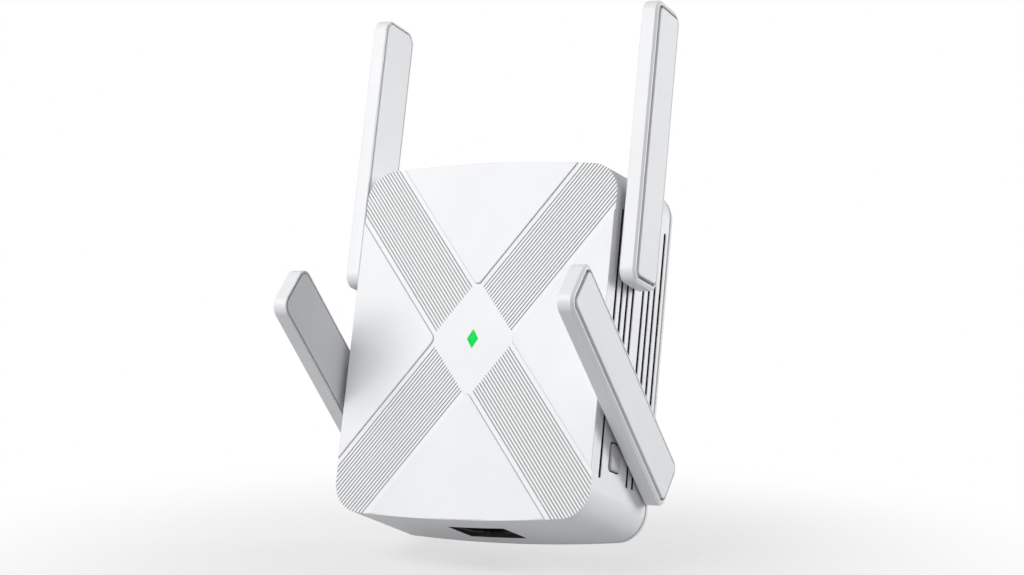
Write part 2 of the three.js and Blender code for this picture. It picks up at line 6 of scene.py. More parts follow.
import json
import math
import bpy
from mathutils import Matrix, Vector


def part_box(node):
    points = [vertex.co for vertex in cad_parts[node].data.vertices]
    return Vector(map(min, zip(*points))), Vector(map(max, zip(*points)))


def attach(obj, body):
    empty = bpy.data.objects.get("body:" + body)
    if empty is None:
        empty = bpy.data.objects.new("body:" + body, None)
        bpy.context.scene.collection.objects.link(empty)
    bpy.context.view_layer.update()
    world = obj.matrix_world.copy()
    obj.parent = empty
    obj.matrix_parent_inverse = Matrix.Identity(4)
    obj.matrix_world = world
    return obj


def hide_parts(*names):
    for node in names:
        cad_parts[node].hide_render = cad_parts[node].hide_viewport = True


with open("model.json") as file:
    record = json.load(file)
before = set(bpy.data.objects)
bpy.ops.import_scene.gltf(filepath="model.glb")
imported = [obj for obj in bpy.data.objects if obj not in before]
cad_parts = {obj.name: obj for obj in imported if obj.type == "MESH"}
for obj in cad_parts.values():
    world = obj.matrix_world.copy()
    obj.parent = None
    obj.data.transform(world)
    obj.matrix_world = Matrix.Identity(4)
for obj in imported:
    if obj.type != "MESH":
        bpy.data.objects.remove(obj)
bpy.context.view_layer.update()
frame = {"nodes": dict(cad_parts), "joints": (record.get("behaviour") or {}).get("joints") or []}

from types import SimpleNamespace

import bmesh
import bpy
import numpy as np
from mathutils import Matrix, Vector
from mathutils.geometry import delaunay_2d_cdt

MM = 0.001


def box_mm(node):
    """Lowest and highest corner of a CAD node, in millimetres."""
    low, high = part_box(node)
    return low / MM, high / MM


# ---- Camera, first, so that everything can be seen while it is made ----


def make_camera():
    data = bpy.data.cameras.new("camera")
    data.sensor_width = 36
    data.lens = 83.72
    data.clip_start = 0.01
    data.clip_end = 50
    camera = bpy.data.objects.new("camera", data)
    bpy.context.scene.collection.objects.link(camera)
    place = Vector((301.606, -583.953, -124.012)) * MM
    target = Vector((9.37, -40.84, 14.0)) * MM
    roll = math.radians(5.685)
    turn = (target - place).to_track_quat("-Z", "Y").to_matrix()
    camera.matrix_world = Matrix.Translation(place) @ (turn @ Matrix.Rotation(roll, 3, "Z")).to_4x4()
    bpy.context.scene.camera = camera


make_camera()

# ---- Sizes ----

SHELL_LOW, SHELL_HIGH = box_mm("front_housing")
FRONT_Y = box_mm("front_panel")[0].y
SHELL_FRONT_Y = SHELL_LOW.y
SEAM_Y = SHELL_HIGH.y
WALL_Y = box_mm("rear_cover")[1].y

# The outline at the front face: half sizes, corner radius, and the outward bow of its top and bottom edges.
HALF_X = 38.0
HALF_Z = 47.45
CORNER_R = 8.35
BOW = 1.13
# Growth of the outline towards the seam, as a factor for each millimetre.
GROW_X = (SHELL_HIGH.x / HALF_X - 1) / (SEAM_Y - FRONT_Y)
GROW_Z = (SHELL_HIGH.z / (HALF_Z + BOW) - 1) / (SEAM_Y - FRONT_Y)
WALL = 2.0
FRONT_WALL = 1.8

LENS_LOW, LENS_HIGH = box_mm("indicator_lens")
RELIEF_X = (LENS_LOW.x + LENS_HIGH.x) / 2
BAND_ANGLE = math.radians(38.4)
BAND_HALF = 8.85
BAND_DEPTH = 0.5
BAND_SOFTEN = 1.6
GROOVE_PITCH = 0.866
GROOVES_EACH_SIDE = 9
GROOVE_START = 10.15  # distance of a groove's end from the other band's centre line

VENT_WIDTH = 1.2
VENT_END_Z = 35.8

ROWS = ("lower", "upper")
SIDES = {"left": -1, "right": 1}
CORNERS = [(row, side) for row in ROWS for side in SIDES]


def grown(x, y, z):
    """A point of the front outline carried back to depth y."""
    t = y - FRONT_Y
    return (x * (1 + GROW_X * t), y, z * (1 + GROW_Z * t))


# ---- Outlines ----


def arc(centre_x, centre_z, radius, start, end, steps):
    """Points on an arc, both ends included. Angles are in degrees from +x towards +z."""
    angles = [math.radians(start + (end - start) * i / steps) for i in range(steps + 1)]
    return [(centre_x + radius * math.cos(a), centre_z + radius * math.sin(a)) for a in angles]


def rounded_rect(half_u, half_v, radius, centre=(0, 0), steps=8):
    points = []
    for i, (su, sv) in enumerate([(1, 1), (-1, 1), (-1, -1), (1, -1)]):
        cu = centre[0] + su * (half_u - radius)
        cv = centre[1] + sv * (half_v - radius)
        points += arc(cu, cv, radius, 90 * i, 90 * (i + 1), steps)
    return points


CORNER_STEPS = 20
BOW_STEPS = 16
CREASE_X = HALF_X - CORNER_R


def body_outline(inset=0.0):
    """The housing's outline at the front face, moved inwards."""
    radius = CORNER_R - inset
    bow_r = (CREASE_X**2 + BOW**2) / (2 * BOW)
    bow_centre = HALF_Z - inset + BOW - bow_r
    sweep = math.degrees(math.asin(CREASE_X / bow_r))
    corner_z = HALF_Z - CORNER_R
    points = arc(CREASE_X, corner_z, radius, 0, 90, CORNER_STEPS)
    points += arc(0, bow_centre, bow_r, 90 - sweep, 90 + sweep, BOW_STEPS)[1:-1]
    points += arc(-CREASE_X, corner_z, radius, 90, 180, CORNER_STEPS)
    points += arc(-CREASE_X, -corner_z, radius, 180, 270, CORNER_STEPS)
    points += arc(0, -bow_centre, bow_r, 270 - sweep, 270 + sweep, BOW_STEPS)[1:-1]
    points += arc(CREASE_X, -corner_z, radius, 270, 360, CORNER_STEPS)
    return points


def circle(radius, centre=(0, 0), steps=32):
    return arc(*centre, radius, 0, 360 - 360 / steps, steps - 1)


def inside_outline(places):
    """How far inside the front outline points (x, z) are.

    The outline is convex, so the nearest edge line decides.
    """
    corners = np.array(body_outline())
    sides = np.roll(corners, -1, axis=0) - corners
    normals = np.stack([sides[:, 1], -sides[:, 0]], axis=1)
    normals /= np.linalg.norm(normals, axis=1)[:, None]
    return -((np.asarray(places)[:, None, :] - corners[None]) * normals[None]).sum(axis=2).max(axis=1)


# ---- Meshes ----


def loft(rings, bm=None):
    """A closed body through rings of equally many points, with a face over the first and the last."""
    bm = bm or bmesh.new()
    made = [[bm.verts.new(Vector(p) * MM) for p in ring] for ring in rings]
    count = len(rings[0])
    faces = []
    for low, high in zip(made, made[1:]):
        for i in range(count):
            j = (i + 1) % count
            faces.append(bm.faces.new((low[i], low[j], high[j], high[i])))
    faces.append(bm.faces.new(made[0][::-1]))
    faces.append(bm.faces.new(made[-1]))
    bmesh.ops.recalc_face_normals(bm, faces=faces)
    return bm


def along_y(outline, stations):
    """Rings of outline(inset) in the x-z plane at each (y, inset), grown with depth."""
    return [[grown(x, y, z) for x, z in outline(inset)] for y, inset in stations]


def along_x(outline, stations):
    """Rings of outline(inset) in the y-z plane at each (x, inset)."""
    return [[(x, y, z) for y, z in outline(inset)] for x, inset in stations]


def prism_x(ring, stops):
    """One ring of (y, z) points, repeated at each x."""
    return [[(x, y, z) for y, z in ring] for x in stops]


def prism_y(ring, stops):
    """One ring of (x, z) points, repeated at each y."""
    return [[(x, y, z) for x, z in ring] for y in stops]


def prism_z(ring, stops):
    """One ring of (x, y) points, repeated at each z."""
    return [[(x, y, z) for x, y in ring] for z in stops]


def turned_x(profile, centre=(0, 0)):
    """Circles about an axis along x, from (x, radius)."""
    return [[(x, y, z) for y, z in circle(radius, centre)] for x, radius in profile]


def turned_y(profile, centre):
    """Circles about an axis along y, from (y, radius)."""
    return [[(x, y, z) for x, z in circle(radius, centre)] for y, radius in profile]


def to_object(bm, name):
    mesh = bpy.data.meshes.new(name)
    bm.to_mesh(mesh)
    bm.free()
    made = bpy.data.objects.new(name, mesh)
    bpy.context.scene.collection.objects.link(made)
    return made


def combine(piece, bm, operation):
    """Joins the bodies in bm to the piece, or cuts them out of it."""
    tool = to_object(bm, "tool")
    step = piece.modifiers.new("step", "BOOLEAN")
    step.operation = operation
    step.solver = "EXACT"
    step.object = tool
    bpy.context.view_layer.update()
    seen = piece.evaluated_get(bpy.context.evaluated_depsgraph_get())
    result = bpy.data.meshes.new_from_object(seen)
    piece.modifiers.clear()
    old = piece.data
    piece.data = result
    bpy.data.meshes.remove(old)
    bpy.data.objects.remove(tool)


def smooth(piece, angle=28, crease=None):
    """Smooth shading that stays sharp past the angle, and on edges whose two ends crease(a, b) accepts."""
    bm = bmesh.new()
    bm.from_mesh(piece.data)
    bmesh.ops.remove_doubles(bm, verts=bm.verts, dist=1e-7)
    limit = math.radians(angle)
    for face in bm.faces:
        face.smooth = True
    for edge in bm.edges:
        a, b = (v.co / MM for v in edge.verts)
        edge.smooth = edge.calc_face_angle(math.pi) < limit and not (crease and crease(a, b))
    bm.to_mesh(piece.data)
    bm.free()
    weighted = piece.modifiers.new("weighted", "WEIGHTED_NORMAL")
    weighted.keep_sharp = True
    weighted.weight = 100


def on_body_crease(a, b):
    """True for an edge along the line where a corner of the housing meets its bowed top or bottom."""
    return all(
        abs(abs(p.x) - CREASE_X * (1 + GROW_X * (p.y - FRONT_Y))) < 0.02 and abs(p.z) > HALF_Z - 1.5
        for p in (a, b)
    )


def finish_piece(piece, body, replaced, look, inside=None):
    """Gives a piece its look, body and nodes. Faces marked 1 take the second look, inside."""
    indices = [polygon.material_index for polygon in piece.data.polygons]
    piece.data.materials.clear()
    piece.data.materials.append(look)
    if inside:
        piece.data.materials.append(inside)
        piece.data.polygons.foreach_set("material_index", indices)
    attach(piece, body)
    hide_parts(*replaced)


# ---- Materials ----


def node_material(name):
    look = bpy.data.materials.new(name)
    look.use_nodes = True
    tree = look.node_tree
    tree.nodes.clear()
    output = tree.nodes.new("ShaderNodeOutputMaterial")
    shader = tree.nodes.new("ShaderNodeBsdfPrincipled")
    tree.links.new(shader.outputs["BSDF"], output.inputs["Surface"])
    place = tree.nodes.new("ShaderNodeTexCoord").outputs["Object"]
    return look, tree, shader, place


def noise(tree, place, size, detail=3.0, stretch=None):
    """A noise pattern whose features are about size millimetres across."""
    if stretch:
        mapping = tree.nodes.new("ShaderNodeMapping")
        mapping.inputs["Scale"].default_value = stretch
        tree.links.new(place, mapping.inputs["Vector"])
        place = mapping.outputs["Vector"]
    made = tree.nodes.new("ShaderNodeTexNoise")
    made.inputs["Scale"].default_value = 1 / (size * MM)
    made.inputs["Detail"].default_value = detail
    tree.links.new(place, made.inputs["Vector"])
    return made.outputs["Fac"]


def ranged(tree, value, low, high):
    made = tree.nodes.new("ShaderNodeMapRange")
    made.inputs["From Min"].default_value = 0.3
    made.inputs["From Max"].default_value = 0.7
    made.inputs["To Min"].default_value = low
    made.inputs["To Max"].default_value = high
    tree.links.new(value, made.inputs["Value"])
    return made.outputs["Result"]


def between(tree, value, first, second):
    made = tree.nodes.new("ShaderNodeMix")
    made.data_type = "RGBA"
    made.inputs["A"].default_value = (*first, 1)
    made.inputs["B"].default_value = (*second, 1)
    tree.links.new(value, made.inputs["Factor"])
    return made.outputs["Result"]


def bump(tree, shader, height, strength, distance):
    made = tree.nodes.new("ShaderNodeBump")
    made.inputs["Strength"].default_value = strength
    made.inputs["Distance"].default_value = distance * MM
    tree.links.new(height, made.inputs["Height"])
    tree.links.new(made.outputs["Normal"], shader.inputs["Normal"])


def moulded(name, colour, roughness, vary=0.015, grain=0.22, depth=0.006, ior=1.46):
    """Moulded plastic: faint flow mottling, uneven gloss and a fine spark-eroded grain."""
    look, tree, shader, place = node_material(name)
    mottle = ranged(tree, noise(tree, place, 14), 0, 1)
    lighter = [min(1, c * (1 + vary)) for c in colour]
    darker = [c * (1 - vary) for c in colour]
    tree.links.new(between(tree, mottle, darker, lighter), shader.inputs["Base Color"])
    gloss = ranged(tree, noise(tree, place, 3.5, 5), roughness - 0.04, roughness + 0.04)
    tree.links.new(gloss, shader.inputs["Roughness"])
    shader.inputs["IOR"].default_value = ior
    bump(tree, shader, noise(tree, place, grain, 2), 0.35, depth)
    return look


def metal(name, colour, roughness, stretch=None, vary=0.06):
    """Bare or plated metal with fine brush or tumble marks."""
    look, tree, shader, place = node_material(name)
    marks = noise(tree, place, 0.5, 6, stretch)
    tone = ranged(tree, noise(tree, place, 2.5), 0, 1)
    darker = [c * (1 - vary) for c in colour]
    tree.links.new(between(tree, tone, darker, colour), shader.inputs["Base Color"])
    tree.links.new(ranged(tree, marks, roughness - 0.08, roughness + 0.1), shader.inputs["Roughness"])
    shader.inputs["Metallic"].default_value = 1.0
    bump(tree, shader, marks, 0.2, 0.01)
    return look


def circuit_board():
    """Green solder mask with lighter lands and traces showing through it."""
    look, tree, shader, place = node_material("solder_mask")
    bricks = tree.nodes.new("ShaderNodeTexBrick")
    bricks.inputs["Scale"].default_value = 260
    bricks.inputs["Mortar Size"].default_value = 0.035
    bricks.inputs["Color1"].default_value = (0.012, 0.13, 0.045, 1)
    bricks.inputs["Color2"].default_value = (0.016, 0.16, 0.055, 1)
    bricks.inputs["Mortar"].default_value = (0.03, 0.24, 0.09, 1)
    mapping = tree.nodes.new("ShaderNodeMapping")
    mapping.inputs["Rotation"].default_value = (math.pi / 2, 0, 0)
    tree.links.new(place, mapping.inputs["Vector"])
    tree.links.new(mapping.outputs["Vector"], bricks.inputs["Vector"])
    tree.links.new(bricks.outputs["Color"], shader.inputs["Base Color"])
    tree.links.new(ranged(tree, noise(tree, place, 2), 0.3, 0.4), shader.inputs["Roughness"])
    bump(tree, shader, bricks.outputs["Fac"], 0.3, 0.02)
    return look


def lit_lens():
    """A clear light pipe lit green: brightest along its middle."""
    look, tree, shader, place = node_material("indicator_green")
    glow = ranged(tree, noise(tree, place, 1.6, 1), 0, 1)
    tone = between(tree, glow, (0.0, 0.66, 0.07), (0.002, 0.76, 0.10))
    tree.links.new(between(tree, glow, (0.001, 0.08, 0.01), (0.002, 0.1, 0.015)), shader.inputs["Base Color"])
    tree.links.new(tone, shader.inputs["Emission Color"])
    shader.inputs["Emission Strength"].default_value = 0.95
    shader.inputs["Specular IOR Level"].default_value = 0.05
    shader.inputs["Roughness"].default_value = 0.3
    bump(tree, shader, noise(tree, place, 0.3, 2), 0.1, 0.004)
    return look


WHITE = moulded("white_plastic", (0.86, 0.865, 0.875), 0.36)
# The white plastic darkened as painted shade on the antenna covers.
COVER_PAINTED_SHADE = moulded("cover_painted_shade", (0.80, 0.805, 0.815), 0.40)
# The white plastic darkened as painted shade, the lower antenna's shadow on the button.
BUTTON_PAINTED_SHADE = moulded("button_plastic", (0.50, 0.505, 0.515), 0.42)
# Grey painted shade for groove floors, the lines round the fields and the antennas' recess floors.
PAINTED_SHADE_GREY = moulded("painted_shade_grey", (0.24, 0.242, 0.247), 0.6)
PIPE = moulded("light_pipe_body", (0.45, 0.52, 0.47), 0.25)
# Near-black painted shade for faces inside the housing's walls and in the rear cover's seam.
PAINTED_SHADE_BLACK = moulded("painted_shade_black", (0.035, 0.035, 0.037), 0.6, grain=0.4)
BLACK = moulded("black_plastic", (0.012, 0.012, 0.013), 0.5, vary=0.2, grain=0.3, depth=0.01, ior=1.3)
SLEEVE = moulded("capacitor_sleeve", (0.02, 0.024, 0.04), 0.3, vary=0.1)
TAPE = moulded("transformer_tape", (0.62, 0.40, 0.06), 0.35, vary=0.06)
LED_BODY = moulded("led_package", (0.80, 0.78, 0.66), 0.35)
INSULATOR = moulded("insulator_grey", (0.26, 0.27, 0.28), 0.5, vary=0.05)
JACKET = moulded("cable_jacket", (0.018, 0.018, 0.019), 0.45, vary=0.15)
STEEL = metal("zinc_plated_steel", (0.62, 0.63, 0.65), 0.3)
GOLD = metal("gold_flash", (0.83, 0.62, 0.26), 0.25)
NICKEL = metal("nickel_plated_brass", (0.72, 0.69, 0.60), 0.27, stretch=(1, 0.08, 1))
ALUMINIUM = metal("aluminium", (0.68, 0.69, 0.70), 0.42)
BOARD = circuit_board()
LENS = lit_lens()

# ---- Front panel ----

RIM = [(0, 0.24), (0.025, 0.13), (0.075, 0.06), (0.14, 0.015), (0.22, 0)]  # inset from the edge, depth
FIELD_EDGE = [(0, BAND_DEPTH), (0.07, 0.16), (0.15, 0.06), (0.3, 0)]  # distance inside a field, depth
# The line round each field's foot is painted shade in the grey second look.
PARTING = 0.09  # width of the dark line round the foot of each field
GROOVE = [(0.07, 0.17), (0.1, 0.15), (0.12, 0.03), (0.16, 0)]  # distance from a groove's middle, depth
GROOVE_END = 0.2  # length of the slope at a groove's end
BEYOND_PANEL = 75  # distances along a groove and along a field's edge that are past the panel's rim
FIELD_REACH = 70
PANEL_BACK_Y = SHELL_FRONT_Y - 0.04
LENS_HALF = Vector((1.6, 2.5))
OPENING_HALF = LENS_HALF * 1.07
LENS_GLOW_DEPTH = 1.2
COLLAR_R = 3.6


def across_band(x, z, lean):
    """Distance from a band's centre line. lean is 1 for the band that leans right."""
    return (x - RELIEF_X) * math.cos(BAND_ANGLE) - z * lean * math.sin(BAND_ANGLE)


def band_point(end, across, lean):
    """The point at these distances from the other band's centre line and from this one's."""
    s, c = lean * math.sin(BAND_ANGLE), math.cos(BAND_ANGLE)
    along = (end * lean - across * math.cos(2 * BAND_ANGLE)) / (lean * math.sin(2 * BAND_ANGLE))
    return RELIEF_X + along * s + across * c, along * c - across * s


def wedge(facing):
    """A field's direction from the middle, half angle, apex distance and inner corner radius."""
    half = math.pi / 2 - BAND_ANGLE if facing % 2 else BAND_ANGLE
    direction = [(0, 1), (1, 0), (0, -1), (-1, 0)][facing]
    return direction, half, BAND_HALF / math.sin(half), BAND_SOFTEN * math.tan(half)


def inside_field(x, z):
    """How far inside the nearest raised field a point is. Negative in the bands."""
    best = -BAND_HALF
    x -= RELIEF_X
    for facing in range(4):
        (dx, dz), half, apex, radius = wedge(facing)
        forward = x * dx + z * dz - apex
        aside = abs(x * dz - z * dx)
        distance = forward * math.sin(half) - aside * math.cos(half)
        if forward * math.cos(half) + aside * math.sin(half) < BAND_SOFTEN:
            distance = radius - math.hypot(forward - radius / math.sin(half), aside)
        best = max(best, distance)
    return best


def interpolate(table, value):
    return float(np.interp(value, [v for v, d in table], [d for v, d in table]))


def relief(x, z):
    """Depth of the front surface behind the raised fields."""
    depth = interpolate(FIELD_EDGE, inside_field(x, z))
    for lean in (1, -1):
        beyond = abs(across_band(x, z, -lean)) - GROOVE_START
        steps = across_band(x, z, lean) / GROOVE_PITCH - 0.5
        off = abs(steps - round(steps)) * GROOVE_PITCH
        if beyond > 0 and -GROOVES_EACH_SIDE <= round(steps) < GROOVES_EACH_SIDE and off < GROOVE[-1][0]:
            depth = max(depth, BAND_DEPTH + min(1, beyond / GROOVE_END) * interpolate(GROOVE, off))
    return depth


def field_ring(facing, inset):
    """A line round a field, inset from its edge, from beyond the panel to beyond the panel."""
    (dx, dz), half, apex, radius = wedge(facing)
    centre = apex + radius / math.sin(half)
    points = []
    for side in (1, -1):
        for distance in (FIELD_REACH, BAND_SOFTEN):
            forward = apex + distance * math.cos(half) + inset * math.sin(half)
            points.append((forward, side * (distance * math.sin(half) - inset * math.cos(half))))
    far_a, near_a, far_b, near_b = points
    sweep = math.pi / 2 - half
    steps = 8
    bend = [
        (centre - (radius - inset) * math.cos(a), (radius - inset) * math.sin(a))
        for a in (sweep - 2 * sweep * i / steps for i in range(1, steps))
    ]
    line = [far_a, near_a, *bend, near_b, far_b]
    return [(RELIEF_X + f * dx + a * dz, f * dz - a * dx) for f, a in line]


def panel_breaklines():
    """Every line across which the front surface changes slope."""
    insets = [-PARTING, *(inset for inset, _ in FIELD_EDGE)]
    lines = [field_ring(facing, inset) for facing in range(4) for inset in insets]
    stops = (GROOVE_START, GROOVE_START + GROOVE_END, BEYOND_PANEL)
    for lean in (1, -1):
        for way in (1, -1):
            for i in range(-GROOVES_EACH_SIDE, GROOVES_EACH_SIDE):
                middle = (i + 0.5) * GROOVE_PITCH
                for off, _ in GROOVE:
                    for across in (middle - off, middle + off):
                        lines.append([band_point(way * end, across, lean) for end in stops])
                edges = (middle - GROOVE[-1][0], middle + GROOVE[-1][0])
                for end in stops[:2]:
                    lines.append([band_point(way * end, across, lean) for across in edges])
    return lines


def make_front_panel():
    points, edges = [], []

    def add_line(line, closed=False):
        first = len(points)
        points.extend(Vector(p) for p in line)
        edges.extend((first + i, first + i + 1) for i in range(len(line) - 1))
        if closed:
            edges.append((first + len(line) - 1, first))

    outline = body_outline()
    points.extend(Vector(p) for p in outline)
    outer_face = list(range(len(outline)))
    for inset, depth in RIM[1:]:
        add_line(body_outline(inset), closed=True)
    for line in panel_breaklines():
        add_line(line)
    opening = [(OPENING_HALF.x, 0), (0, OPENING_HALF.y), (-OPENING_HALF.x, 0), (0, -OPENING_HALF.y)]
    add_line([(RELIEF_X + x, z) for x, z in opening], closed=True)
    flat, _, triangles, *_ = delaunay_2d_cdt(points, edges, [outer_face], 1, 1e-5)

    place = np.array([tuple(p) for p in flat])
    inset = inside_outline(place)
    bm = bmesh.new()
    verts = []
    for (x, z), edge_distance in zip(place, inset):
        depth = max(relief(x, z), interpolate(RIM, edge_distance))
        verts.append(bm.verts.new(Vector(grown(x, FRONT_Y + depth, z)) * MM))
    for triangle in triangles:
        cx, cz = place[list(triangle)].mean(axis=0)
        if abs(cx - RELIEF_X) / OPENING_HALF.x + abs(cz) / OPENING_HALF.y > 1:
            face = bm.faces.new([verts[i] for i in triangle])
            # Groove floors and a thin line round each field's foot take the grey painted shade.
            in_groove = relief(cx, cz) > BAND_DEPTH + 0.05
            face.material_index = int(in_groove or -PARTING < inside_field(cx, cz) < 0)
    bmesh.ops.delete(bm, geom=[v for v in bm.verts if not v.link_faces], context="VERTS")

    # The sides and the lens opening run straight back, and one flat face closes the back.
    rim = [e for e in bm.edges if e.is_boundary]
    made = bmesh.ops.extrude_edge_only(bm, edges=rim)["geom"]
    for vert in (v for v in made if isinstance(v, bmesh.types.BMVert)):
        x, y, z = vert.co / MM
        front = 1 + GROW_X * (y - FRONT_Y), 1 + GROW_Z * (y - FRONT_Y)
        vert.co = Vector(grown(x / front[0], PANEL_BACK_Y, z / front[1])) * MM
    for face in (f for f in made if isinstance(f, bmesh.types.BMFace)):
        face.material_index = 0
    back = [e for e in made if isinstance(e, bmesh.types.BMEdge)]
    bmesh.ops.triangle_fill(bm, edges=back, use_beauty=False)
    bmesh.ops.recalc_face_normals(bm, faces=bm.faces)
    panel = to_object(bm, "front_panel_skin")
    smooth(panel, 26, on_body_crease)
    finish_piece(panel, "housing", ["front_panel"], WHITE, PAINTED_SHADE_GREY)

    lens_front, lens_back = LENS_LOW.y, LENS_HIGH.y

    def diamond(inset):
        x, z = LENS_HALF.x - inset, LENS_HALF.y - inset * LENS_HALF.y / LENS_HALF.x
        right = [(x, 0), (x / 2, z / 2), (0, z), (-x / 2, z / 2)]
        left = [(-x, 0), (-x / 2, -z / 2), (0, -z), (x / 2, -z / 2)]
        return [(RELIEF_X + x, z) for x, z in right + left]

    stations = [(lens_front, 1.2), (lens_front + 0.03, 0.6), (lens_front + 0.1, 0.2)]
    stations += [(lens_front + 0.25, 0.0), (lens_front + 1.0, 0.0)]
    bm = loft(along_y(diamond, [*stations, (lens_back, 0.0)]))
    pipe = to_object(bm, "indicator_gem")
    collar_y = (lens_back - 2.4, lens_back - 1.4)
    combine(pipe, loft(prism_y(circle(COLLAR_R, (RELIEF_X, 0)), collar_y)), "UNION")
    smooth(pipe, 20)
    finish_piece(pipe, "housing", ["indicator_lens"], LENS, PIPE)
    for polygon in pipe.data.polygons:
        polygon.material_index = int(polygon.center.y / MM > lens_front + LENS_GLOW_DEPTH)


# ---- Antennas ----


def antenna_frame(row, side):
    """The pivot, lean and blade sizes of one antenna, measured on its CAD nodes."""
    name = f"antenna_{row}_{side}"
    joint = next(j for j in frame["joints"] if j["name"] == f"{name}_hinge")
    pivot = Vector(joint["pos_m"]) / MM
    low, high = box_mm(f"{name}_shell")
    middle = (low + high) / 2
    lean = math.atan2(pivot.y - middle.y, middle.z - pivot.z)
    return SimpleNamespace(name=name, out=SIDES[side], pivot=pivot, lean=lean, body=name)


UPRIGHT_LOW, UPRIGHT_HIGH = box_mm("antenna_upper_right_shell")
UPRIGHT_PIVOT = antenna_frame("upper", "right").pivot
BLADE_HALF_Y = (UPRIGHT_HIGH.y - UPRIGHT_LOW.y) / 2
BLADE_HALF_Z = (UPRIGHT_HIGH.z - UPRIGHT_LOW.z) / 2
BLADE_MIDDLE = (UPRIGHT_HIGH.z + UPRIGHT_LOW.z) / 2 - UPRIGHT_PIVOT.z
BLADE_R = 3.57
SHELL_INNER_X = UPRIGHT_LOW.x
SHELL_OUTER_X = UPRIGHT_HIGH.x
OUTER_X = box_mm("antenna_upper_right_outer_cover")[1].x
INNER_X = 39.43
HUB_TIP_X = box_mm("antenna_upper_right_inner_cover")[0].x
HUB_R = 3.0
OUTER_RECESS = (1.25, SHELL_OUTER_X - 0.9)  # inset from the outline, and x of its floor
INNER_RECESS = (0.45, SHELL_INNER_X + 0.73)
OUTER_INSET = 2.05
INNER_INSET = 0.95


def blade_outline(inset):
    return rounded_rect(BLADE_HALF_Y - inset, BLADE_HALF_Z - inset, BLADE_R - inset, (0, BLADE_MIDDLE), 10)


def quarter(start, end, steps=5):
    """Stations round an edge, from (x, inset) to (x, inset): first along the side, then across the top."""
    (x0, in0), (x1, in1) = start, end
    turns = [math.pi / 2 * i / steps for i in range(steps + 1)]
    return [(x0 + (x1 - x0) * math.sin(a), in0 + (in1 - in0) * (1 - math.cos(a))) for a in turns]


def set_in_place(piece, spot):
    """Moves a piece made upright on the right, with its pivot at y = z = 0, to where its antenna is."""
    turn = Matrix.Rotation(spot.lean, 4, "X")
    mirror = Matrix.Diagonal((spot.out, 1, 1, 1))
    where = Matrix.Translation(Vector((0, spot.pivot.y, spot.pivot.z)) * MM)
    piece.data.transform(where @ mirror @ turn)
    if spot.out < 0:
        piece.data.flip_normals()


POCKET_INSET = 1.3
CLIP_GROOVE_X = (34.3, 35.7)
CLIP_GROOVE_DEPTH = 0.8
HUB_BORE_R = 1.5


def make_antenna(row, side):
    spot = antenna_frame(row, side)

    # The case: a rounded rim on both sides, an open pocket inside, and the recess of the outer cover.
    inner_inset, inner_floor = INNER_RECESS
    outer_inset, outer_floor = OUTER_RECESS
    stations = [(outer_floor - 0.6, POCKET_INSET), (inner_floor, POCKET_INSET), (inner_floor, inner_inset)]
    stations += [(SHELL_INNER_X + 0.06, inner_inset), (SHELL_INNER_X, inner_inset - 0.06)]
    stations += quarter((SHELL_INNER_X + 0.35, 0), (SHELL_INNER_X, 0.3))[::-1]
    stations += [(SHELL_OUTER_X - 0.68, 0), (SHELL_OUTER_X - 0.56, 0.05), (SHELL_OUTER_X - 0.1, 0.72)]
    stations += [(SHELL_OUTER_X - 0.02, 0.86), (SHELL_OUTER_X, 1.0)]
    stations += [(SHELL_OUTER_X, outer_inset - 0.08), (SHELL_OUTER_X - 0.08, outer_inset)]
    stations.append((outer_floor, outer_inset))
    case = to_object(loft(along_x(blade_outline, stations)), f"{spot.name}_case")
    set_in_place(case, spot)
    smooth(case)
    finish_piece(case, spot.body, [f"{spot.name}_shell"], WHITE, PAINTED_SHADE_GREY)
    # The recess floor round the outer cover takes the grey painted shade.
    recess_floor = max(case.data.polygons, key=lambda polygon: polygon.area)
    recess_floor.material_index = 1

    # The outer cover: raised out of its recess, with a soft edge.
    stations = [(outer_floor + 0.05, OUTER_INSET)]
    stations += quarter((OUTER_X - 0.2, OUTER_INSET), (OUTER_X, OUTER_INSET + 0.2))
    cover = to_object(loft(along_x(blade_outline, stations)), f"{spot.name}_outer_face")
    set_in_place(cover, spot)
    smooth(cover)
    finish_piece(cover, spot.body, [f"{spot.name}_outer_cover"], COVER_PAINTED_SHADE)

    # The inner cover: a plate with a soft edge, a step that locates in the case, and the hollow hub.
    plate_back = inner_floor - 0.3
    stations = quarter((INNER_X + 0.2, INNER_INSET), (INNER_X, INNER_INSET + 0.2))[::-1]
    stations += [(plate_back, INNER_INSET), (plate_back, 1.6), (plate_back + 0.8, 1.6)]
    plate = to_object(loft(along_x(blade_outline, stations)), f"{spot.name}_inner_face")
    groove_start, groove_end = CLIP_GROOVE_X
    groove_r = HUB_R - CLIP_GROOVE_DEPTH
    hub = [(HUB_TIP_X, HUB_R - 0.25), (HUB_TIP_X + 0.25, HUB_R), (groove_start, HUB_R)]
    hub += [(groove_start, groove_r), (groove_end, groove_r), (groove_end, HUB_R), (plate_back - 0.1, HUB_R)]
    combine(plate, loft(turned_x(hub)), "UNION")
    combine(plate, loft(prism_x(circle(HUB_BORE_R), (HUB_TIP_X - 1, plate_back + 2))), "DIFFERENCE")
    set_in_place(plate, spot)
    smooth(plate)
    finish_piece(plate, spot.body, [f"{spot.name}_inner_cover"], COVER_PAINTED_SHADE)


# ---- Housing ----

